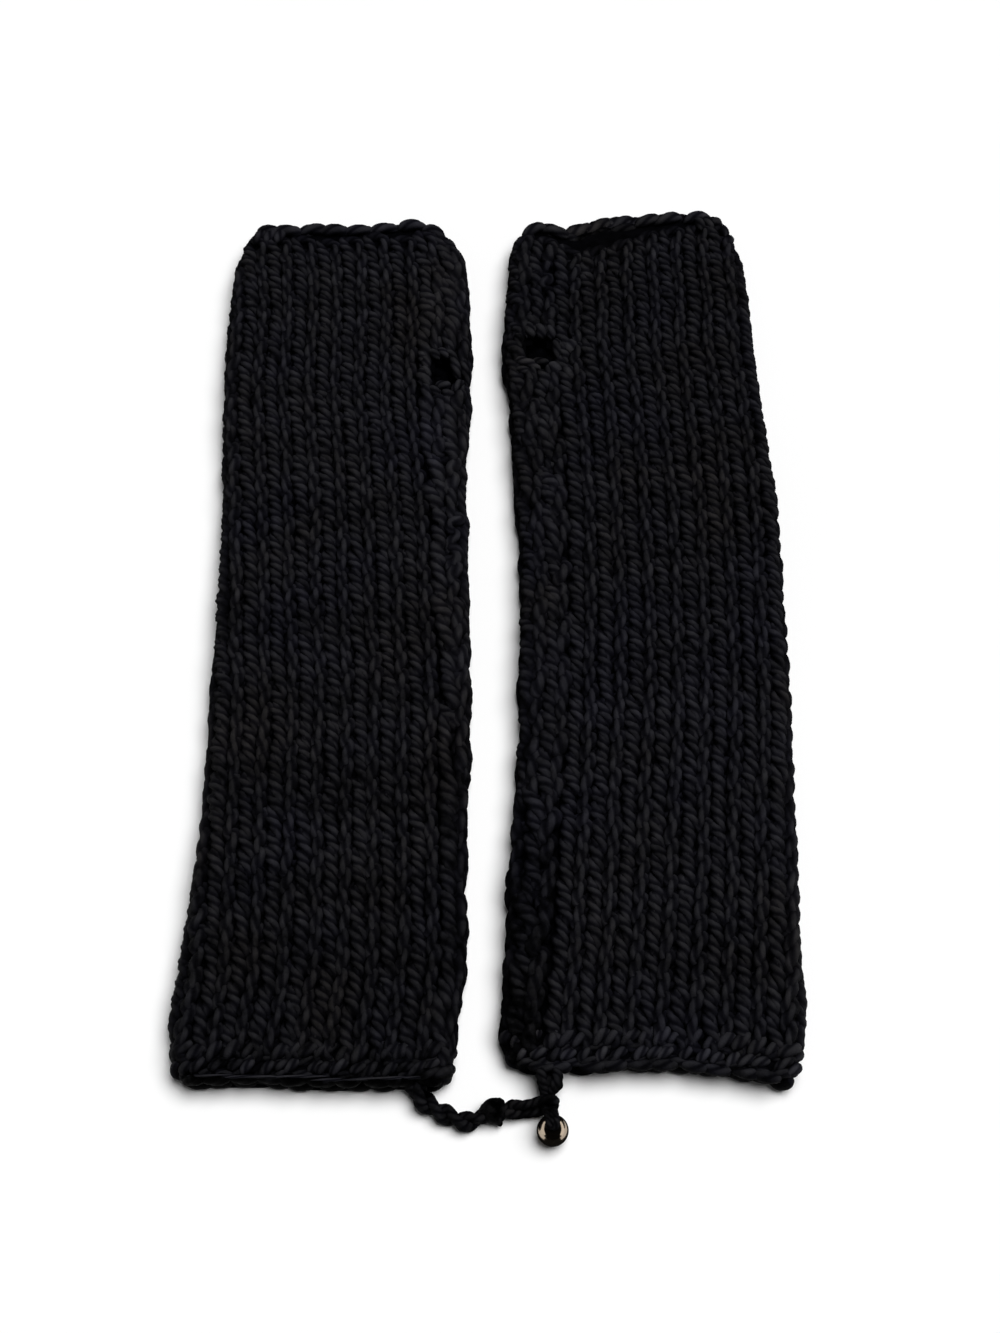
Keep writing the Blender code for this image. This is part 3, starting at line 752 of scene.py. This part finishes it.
# Two strands' places across the ball, and their routes to it.
SHANK_STRANDS = [
    ((-2.4, -1.3), [(15.2, -169.5, 8.6), (15.6, -173.6, 9.0), (16.6, -177.4, 7.0), (16.6, -180.8, 6.0)]),
    ((0.3, 1.3), [(20.2, -169.5, 8.4), (20.6, -173.8, 9.1), (18.6, -177.8, 7.0), (18.2, -180.8, 6.0)]),
]
SHANK_STRAND_RADIUS = 1.1
SHANK_PLY_PITCH = 6.5
BALL_CENTRE = (19.0, -189.9, 5.2)
BALL_RADIUS = 5.2
BALL_HOLE_TILT = math.radians(16)
BALL_DIMPLE_ANGLE = math.radians(30)
BALL_DIMPLE_DEPTH = 0.9
BALL_RINGS = 64
BALL_SEGMENTS = 96
BUTTON_STRAND_REACH = BALL_RADIUS + 0.35 + SHANK_STRAND_RADIUS
BUTTON_STRAND_TURNS = (math.radians(8), math.radians(97))
MIDDLE_STRAND_SIDES = (-1.05, 0.0)
MIDDLE_STRAND_RADIUS = 0.95


def smooth_route(points, steps):
    """Points on a smooth curve through a route, with a number of steps between its own points."""
    points = np.array(points)
    padded = np.vstack([points[:1], points, points[-1:]])
    share = np.linspace(0, 1, steps, endpoint=False)[:, None]
    spans = [
        2 * here
        + (after - before) * share
        + (2 * before - 5 * here + 4 * after - beyond) * share**2
        + (3 * here - before - 3 * after + beyond) * share**3
        for before, here, after, beyond in zip(padded, padded[1:], padded[2:], padded[3:])
    ]
    return np.vstack([0.5 * np.vstack(spans), points[-1:]])


def even_steps(path, step):
    """The same path with points at even distances."""
    run = np.concatenate([[0.0], np.cumsum(gaps(path))])
    places = np.linspace(0, run[-1], max(4, round(run[-1] / step)) + 1)
    return np.stack([np.interp(places, run, path[:, axis]) for axis in range(3)], axis=-1)


def path_length(path):
    return float(gaps(path).sum())


def yarn_along(mesh, path, radius, random, pitch, tone):
    """Adds one yarn in millimetres, rounded off at both ends."""
    ups, _ = directions(path)
    thickness = radius * ends_tapered(len(path), 4)
    tone = tone + random.uniform(-0.5, 0.5)
    twist = random.uniform(0, 6)
    mesh.add(path * MM, ups, thickness, STRAND_SIDES, tone, twist, pitch, SMOOTH_PLY_DEPTH)


def round_knot(mesh, centre, radii, yarn_radius, lean, random):
    """A yarn tied in a trefoil and drawn up tight into a ball, with the knot's filled middle."""
    turn = np.linspace(0, TAU, 140)
    x = np.sin(turn) + 2 * np.sin(2 * turn)
    y = np.cos(turn) - 2 * np.cos(2 * turn)
    trefoil = unit(np.stack([x, y, -3.0 * np.sin(3 * turn)], -1))
    cosine, sine = math.cos(lean), math.sin(lean)
    tilt = np.array([[cosine, -sine, 0], [sine, cosine, 0], [0, 0, 1]])
    wraps = trefoil @ tilt.T * (np.array(radii) - yarn_radius) + np.array(centre)
    yarn_along(mesh, wraps, yarn_radius, random, KNOT_PLY_PITCH, KNOT_TONE)
    core = KNOT_CORE_SHARE * radii[0]
    turn = np.linspace(0.05, math.pi - 0.05, 16)
    axis = np.stack([-core * np.cos(turn), 0 * turn, 0 * turn], -1) + np.array(centre)
    mesh.add(axis * MM, UP, core * np.sin(turn), 24, KNOT_TONE, 0.0, UNTWISTED, 0.0)


def build_loop(wool):
    random = np.random.default_rng(5)
    loop = YarnMesh()
    lay = even_steps(smooth_route([LOOP_CORD_ROOT, *LOOP_CORD_ROUTE, LOOP_KNOT_CENTRE], 10), CORD_STEP)
    ups, across = directions(lay)
    run = np.linspace(0, path_length(lay), len(lay))
    to_knot = run[-1] - run
    swell = 1 + 0.12 * np.cos(2 * TAU * run / LOOP_TWIST_PITCH - 1.3)
    swell = swell * np.interp(to_knot, (0, 6), (0.75, 1.0)) * np.interp(run, (2, 10), (1.18, 1.0))
    swing = LOOP_STRAND_SPREAD * np.clip(to_knot / 5.0, 0, 1)[:, None]
    for phase, eye in ((0.9, LOOP_EYE_UPPER), (0.9 + math.pi, LOOP_EYE_LOWER)):
        turn = phase + TAU * run / LOOP_TWIST_PITCH
        wound = lay + swing * (np.cos(turn)[:, None] * ups + np.sin(turn)[:, None] * across)
        round_neck = even_steps(smooth_route([LOOP_KNOT_CENTRE, *eye], 10), CORD_STEP)
        path = np.vstack([wound, round_neck[1:]])
        slim = LOOP_EYE_STRAND_RADIUS + np.linspace(1, -1, len(round_neck) - 1).clip(0) * (
            LOOP_EYE_START_RADIUS - LOOP_EYE_STRAND_RADIUS
        )
        radius = np.concatenate([LOOP_STRAND_RADIUS * swell, slim])
        lumps = Wander(random, len(path), 14)(np.arange(len(path)))
        yarn_along(loop, path, radius * (1 + 0.07 * lumps), random, 9.0, LOOP_TONE)
    knot = YarnMesh()
    round_knot(knot, LOOP_KNOT_CENTRE, (5.0, 4.9, 3.9), 1.4, 0.5, random)
    yarn_along(knot, even_steps(smooth_route(LOOP_KNOT_TAIL, 8), 0.4), 1.4, random, 8.0, KNOT_TONE)
    knot_piece = wool_piece(knot.build("loop_knot_yarn", wool), "loop_knot")
    loop_piece = wool_piece(loop.build("loop_cord_yarn", wool), "loop_cord", "loop_eye")
    path = smooth_route([*LOOP_CORD_ROUTE, LOOP_KNOT_CENTRE, *LOOP_EYE_MIDDLE], 8)


def button_strand(sides):
    """The way of one strand over the ball, from the neck to the dimple and into it."""
    share = np.linspace(0, 1, 20)
    turn = BUTTON_STRAND_TURNS[0] + (BUTTON_STRAND_TURNS[1] - BUTTON_STRAND_TURNS[0]) * share
    side = sides[0] + (sides[1] - sides[0]) * share
    flat = np.sqrt(BUTTON_STRAND_REACH**2 - side**2)
    return np.array(BALL_CENTRE) + np.stack([side, flat * np.cos(turn), flat * np.sin(turn)], -1)


def build_shank(wool):
    random = np.random.default_rng(8)
    shank = YarnMesh()
    round_knot(shank, SHANK_KNOT_CENTRE, (4.4, 4.0, 4.0), 1.5, 1.4, random)
    hole = np.array(BALL_CENTRE) + 4.2 * np.array([0, -math.sin(BALL_HOLE_TILT), math.cos(BALL_HOLE_TILT)])
    for sides, route in SHANK_STRANDS:
        whole = np.vstack([route, button_strand(sides)[::3], hole])
        path = even_steps(smooth_route(whole, 8), 0.4)
        radius = np.interp(np.arange(len(path)), (0, 22, 32, len(path)), (2.1, 1.9, 1.2, SHANK_STRAND_RADIUS))
        yarn_along(shank, path, radius, random, SHANK_PLY_PITCH, LOOP_TONE)
    between = even_steps(button_strand(MIDDLE_STRAND_SIDES), 0.4)
    yarn_along(shank, between, MIDDLE_STRAND_RADIUS, random, SHANK_PLY_PITCH, LOOP_TONE)
    nodes = ("shank_knot", "shank_neck", "button_strand_left", "button_strand_right")
    wool_piece(shank.build("button_shank_yarn", wool), *nodes)


def build_ball(brass):
    """The turned ball, with a rounded dimple round its hole."""
    angles = np.linspace(0, math.pi, BALL_RINGS + 1)[1:-1]
    dip = np.clip(1 - angles / BALL_DIMPLE_ANGLE, 0, 1)
    radius = BALL_RADIUS - BALL_DIMPLE_DEPTH * dip * dip * (3 - 2 * dip)
    turns = TAU * np.arange(BALL_SEGMENTS) / BALL_SEGMENTS
    out, up = (radius * np.sin(angles))[:, None], (radius * np.cos(angles))[:, None]
    rings = np.stack([out * np.cos(turns), out * np.sin(turns), up * np.ones(BALL_SEGMENTS)], axis=-1)
    rings = rings.reshape(-1, 3)
    poles = np.array([[0, 0, BALL_RADIUS - BALL_DIMPLE_DEPTH], [0, 0, -BALL_RADIUS]])
    cosine, sine = math.cos(BALL_HOLE_TILT), math.sin(BALL_HOLE_TILT)
    tilt = np.array([[1, 0, 0], [0, cosine, -sine], [0, sine, cosine]])
    points = np.vstack([rings, poles]) @ tilt.T + np.array(BALL_CENTRE)
    faces = []
    pole, last = len(rings), len(rings) - BALL_SEGMENTS
    for step in range(BALL_SEGMENTS):
        after = (step + 1) % BALL_SEGMENTS
        for first in range(0, last, BALL_SEGMENTS):
            below = first + BALL_SEGMENTS
            faces.append((first + step, below + step, below + after, first + after))
        faces += [(pole, step, after), (pole + 1, last + after, last + step)]
    mesh = bpy.data.meshes.new("polished_ball")
    mesh.from_pydata((points * MM).tolist(), [], faces)
    mesh.shade_smooth()
    mesh.materials.append(brass)
    ball = add_object("polished_ball", mesh)
    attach(ball, "root")
    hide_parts("ball_button")


# ---- materials
# The wool's colour on the plies' crowns, and darker colours for the painted shade on their flanks and between
# the plies.
WOOL_COLOURS = [(0.0010, 0.0010, 0.0014), (0.0042, 0.0041, 0.0055), (0.0151, 0.0149, 0.0166)]
WOOL_ROUGHNESS = 0.75
WOOL_SPECULAR = 0.05
PATCH_SCALE = 34
PATCH_TINTS = [(0.3, (1.06, 1.0, 0.9)), (0.5, (1, 1, 1)), (0.7, (0.96, 0.96, 1.10))]
TONE_STEP = 0.10
MOTTLE_SCALE = 240
MOTTLE_GAIN = 2.2
FUZZ_SCALE = 1500
BRASS_COLOUR = (0.40, 0.325, 0.25, 1)
BRASS_ROUGHNESS = (0.09, 0.22)
SMEAR_SCALE = 420


def feed(node, inputs):
    """Sets a node's inputs, each to a value or to the output of another node."""
    for label, value in inputs.items():
        if isinstance(value, bpy.types.NodeSocket):
            node.id_data.links.new(value, node.inputs[label])
        else:
            node.inputs[label].default_value = value


def add_node(tree, kind, output, inputs=None, **settings):
    node = tree.nodes.new("ShaderNode" + kind)
    for setting, value in settings.items():
        setattr(node, setting, value)
    feed(node, inputs or {})
    return node.outputs[output]


def calculated(tree, operation, *values):
    return add_node(tree, "Math", "Value", dict(enumerate(values)), operation=operation)


def mapped(tree, value, low, high):
    """A value from 0 to 1, moved to another range."""
    return add_node(tree, "MapRange", "Result", {"Value": value, "To Min": low, "To Max": high})


def noise(tree, scale, detail):
    place = add_node(tree, "TexCoord", "Object")
    return add_node(tree, "TexNoise", "Fac", {"Scale": scale, "Detail": detail, "Vector": place})


def ramp(tree, value, stops):
    """The colours of a ramp's stops, read at a value."""
    colour = add_node(tree, "ValToRGB", "Color", {"Fac": value})
    elements = colour.node.color_ramp.elements
    for position, _ in stops[1:-1]:
        elements.new(position)
    for element, (position, stop) in zip(elements, stops):
        element.position, element.color = position, (*stop, 1)
    return colour


def mixed(tree, factor, first, second, blend="MIX"):
    inputs = {"Factor": factor, "A": first, "B": second}
    return add_node(tree, "Mix", "Result", inputs, data_type="RGBA", blend_type=blend)


def new_material(name):
    material = bpy.data.materials.new(name)
    material.use_nodes = True
    return material, material.node_tree, material.node_tree.nodes["Principled BSDF"]


def wool_material(name, colours):
    """Black wool: painted shade between the plies and on their flanks, with soft patches of bluer and browner
    fibre and a fine fuzz.
    """
    material, tree, shader = new_material(name)
    # Painted shade: the ramp darkens the wool by each point's painted light.
    painted_shading = add_node(tree, "Attribute", "Fac", attribute_name="painted_light")
    colour = ramp(tree, painted_shading, list(zip((0.0, 0.5, 1.0), colours)))
    tints = ramp(tree, noise(tree, PATCH_SCALE, 2), PATCH_TINTS)
    colour = mixed(tree, 1.0, colour, tints, "MULTIPLY")
    tone = add_node(tree, "Attribute", "Fac", attribute_name="yarn_tone")
    light = calculated(tree, "MULTIPLY_ADD", tone, TONE_STEP, noise(tree, MOTTLE_SCALE, 4))
    light = calculated(tree, "MULTIPLY_ADD", light, MOTTLE_GAIN, 1 - MOTTLE_GAIN / 2)
    colour = mixed(tree, 1.0, colour, light, "MULTIPLY")
    bumps = {"Strength": 0.5, "Distance": 0.0004, "Height": noise(tree, FUZZ_SCALE, 3)}
    feed(shader, {"Base Color": colour, "Normal": add_node(tree, "Bump", "Normal", bumps)})
    feed(shader, {"Roughness": WOOL_ROUGHNESS, "Specular IOR Level": WOOL_SPECULAR})
    return material


def brass_material():
    """Brass, polished unevenly."""
    material, tree, shader = new_material("polished_brass")
    polish = mapped(tree, noise(tree, SMEAR_SCALE, 3), *BRASS_ROUGHNESS)
    feed(shader, {"Base Color": BRASS_COLOUR, "Roughness": polish, "Metallic": 1.0})
    return material


# ---- the cloth behind the stitches, in painted shade
FRONT_PARTS = ("lower", "middle", "upper")
BASE_DEPTH = 3.1
BASE_RIM = 2.2
BASE_STAND = 7.0
BASE_ROWS = 90
BASE_COLUMNS = 72
BASE_HOLE_MARGIN = 0.6


def base_cloth(tube, material):
    """One thin layer all round the tube, open at both ends and at the thumb."""
    rows, columns = BASE_ROWS, BASE_COLUMNS
    sheet = bmesh.new()
    grid = []
    for row in range(rows + 1):
        along = (BASE_RIM + (tube.length - 2 * BASE_RIM) * row / rows) / tube.length
        places = tube.ring_place(np.full(columns, along), np.arange(columns) / columns)
        along = along + BASE_STAND * chain_stand(tube, places) * (row == rows) / tube.length
        grid.append([sheet.verts.new(point) for point in tube.point(places, along, BASE_DEPTH)])
    for row in range(rows):
        for column in range(columns):
            after = (column + 1) % columns
            corners = (grid[row][column], grid[row][after], grid[row + 1][after], grid[row + 1][column])
            centre = sum((corner.co for corner in corners), corners[0].co * 0) / 4 / MM
            away = tube.from_hole(centre.x, centre.y, BASE_HOLE_MARGIN)
            if away > 1 or centre.z < MIDDLE_DEPTH + CLOTH_WALL:
                sheet.faces.new(corners)
    loose = [corner for corner in sheet.verts if not corner.link_faces]
    bmesh.ops.delete(sheet, geom=loose, context="VERTS")
    bmesh.ops.recalc_face_normals(sheet, faces=sheet.faces)
    mesh = bpy.data.meshes.new(f"{tube.name}_base_cloth")
    sheet.to_mesh(mesh)
    sheet.free()
    mesh.shade_smooth()
    mesh.materials.append(material)
    return add_object(mesh.name, mesh)


def wool_piece(obj, *nodes):
    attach(obj, "root")
    if nodes:
        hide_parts(*nodes)
    return obj


def build_arm_warmer(tube, hole_strands, wool, painted_shade_wool, seed):
    random = np.random.default_rng(seed)
    name = tube.name
    front = [YarnMesh() for _ in FRONT_PARTS]
    back, strip, border, edge = (YarnMesh() for _ in range(4))
    knit_panel(tube, front, back, random)
    seam_strip(tube, strip, random)
    thumb_rim(tube, hole_strands, strip, random)
    border_rim = Rim(tube, border, random)
    lower_border(border_rim, name)
    upper_edge(Rim(tube, edge, random))
    if name == "left":
        border_corner(border_rim)
    parts = [(mesh, f"front_stitches_{part}", "knit_panel") for mesh, part in zip(front, FRONT_PARTS)]
    parts += [
        (back, "back_stitches", "knit_panel"),
        (strip, "strip_stitches", "seam_strip"),
        (border, "border_strands", "lower_border"),
        (edge, "bind_off_chain", "upper_edge"),
    ]
    pieces = [wool_piece(mesh.build(f"{name}_{label}", wool), f"{name}_{node}") for mesh, label, node in parts]
    # Painted shade: the cloth behind the stitches.
    base = wool_piece(base_cloth(tube, painted_shade_wool))
    around = tube.girth(0.5)


# ---- floor, light and air
FLOOR_REACH = 3.0
FLOOR_SHADES = [(0.0, (0.9,) * 3), (1.0, (0.94,) * 3)]
MIRRORED_FLOOR_COLOUR = (0.01, 0.01, 0.01, 1)
MIRRORED_FLOOR_START = 0.015
KEY_AIM = (0.34, 0.14, 1.0)
KEY_ANGLE = math.radians(50)
KEY_STRENGTH = 3.43
# The soft boxes that only the ball mirrors: the name, the place and the power of each.
GLINT_BOXES = [("left_glint", (-0.55, -0.12, 0.14), 1.0), ("right_glint", (0.59, -0.12, 0.14), 1.2)]
GLINT_BOX_SIZE = (1.0, 0.28)
AIR_STRENGTH = 0.08
MIRRORED_AIR_STRENGTH = 0.004
BACKDROP_STRENGTH = 0.96


def mirrored_floor_shade(tree):
    """How dark the floor is where the ball mirrors it: dark below the ball and towards the front, where its
    own shade and the onlooker are, and pale on both sides."""
    place = add_node(tree, "TexCoord", "Object")
    away = []
    for axis, middle in zip("XY", BALL_CENTRE):
        part = add_node(tree, "SeparateXYZ", axis, {"Vector": place})
        away.append(calculated(tree, "ABSOLUTE", calculated(tree, "SUBTRACT", part, middle * MM)))
    clear = calculated(tree, "GREATER_THAN", away[0], MIRRORED_FLOOR_START)
    beside = calculated(tree, "GREATER_THAN", *away)
    dark = calculated(tree, "SUBTRACT", 1.0, calculated(tree, "MULTIPLY", clear, beside))
    return calculated(tree, "MULTIPLY", add_node(tree, "LightPath", "Is Glossy Ray"), dark)


def add_floor():
    mesh = bpy.data.meshes.new("floor")
    corners = [(x * FLOOR_REACH, y * FLOOR_REACH, 0) for x, y in ((-1, -1), (1, -1), (1, 1), (-1, 1))]
    mesh.from_pydata(corners, [], [(0, 1, 2, 3)])
    material, tree, shader = new_material("pale_floor")
    shade = ramp(tree, noise(tree, 3, 2), FLOOR_SHADES)
    colour = mixed(tree, mirrored_floor_shade(tree), shade, MIRRORED_FLOOR_COLOUR)
    feed(shader, {"Base Color": colour, "Roughness": 0.9, "Specular IOR Level": 0.1})
    mesh.materials.append(material)
    add_object("floor", mesh)


def add_key_light():
    """A wide overhead soft light, a little from the right and the back."""
    data = bpy.data.lights.new("key_light", "SUN")
    data.angle = KEY_ANGLE
    data.energy = KEY_STRENGTH
    light = add_object("key_light", data)
    light.rotation_euler = Vector(KEY_AIM).to_track_quat("Z", "Y").to_euler()
    light.visible_glossy = False


def add_glint_boxes():
    for name, place, power in GLINT_BOXES:
        data = bpy.data.lights.new(name, "AREA")
        data.shape = "RECTANGLE"
        data.size, data.size_y = GLINT_BOX_SIZE
        data.energy = power
        light = add_object(name, data)
        light.location = place
        to_ball = Vector(BALL_CENTRE) * MM - Vector(place)
        light.rotation_euler = to_ball.to_track_quat("-Z", "Y").to_euler()
        light.visible_diffuse = False


def add_air():
    """Faint even light, still fainter where the ball mirrors it, in front of a pale backdrop."""
    world = bpy.data.worlds.new("studio")
    world.use_nodes = True
    tree = world.node_tree
    mirrored = add_node(tree, "LightPath", "Is Glossy Ray")
    strength = mapped(tree, mirrored, AIR_STRENGTH, MIRRORED_AIR_STRENGTH)
    direct = add_node(tree, "LightPath", "Is Camera Ray")
    strength = mapped(tree, direct, strength, BACKDROP_STRENGTH)
    feed(tree.nodes["Background"], {"Color": (1, 1, 1, 1), "Strength": strength})
    bpy.context.scene.world = world
    bpy.context.scene.view_settings.view_transform = "Standard"


# ---- the whole scene
add_camera()
add_floor()
add_key_light()
add_glint_boxes()
add_air()
WOOL = wool_material("black_wool", WOOL_COLOURS)
# The cloth behind the stitches is coloured only with the wool's darkest painted shade.
PAINTED_SHADE_WOOL = wool_material("black_wool_painted_shade", WOOL_COLOURS[:1] * 3)
build_arm_warmer(LEFT, LEFT_HOLE_STRANDS, WOOL, PAINTED_SHADE_WOOL, 11)
build_arm_warmer(RIGHT, RIGHT_HOLE_STRANDS, WOOL, PAINTED_SHADE_WOOL, 23)
build_loop(WOOL)
build_shank(WOOL)
build_ball(brass_material())
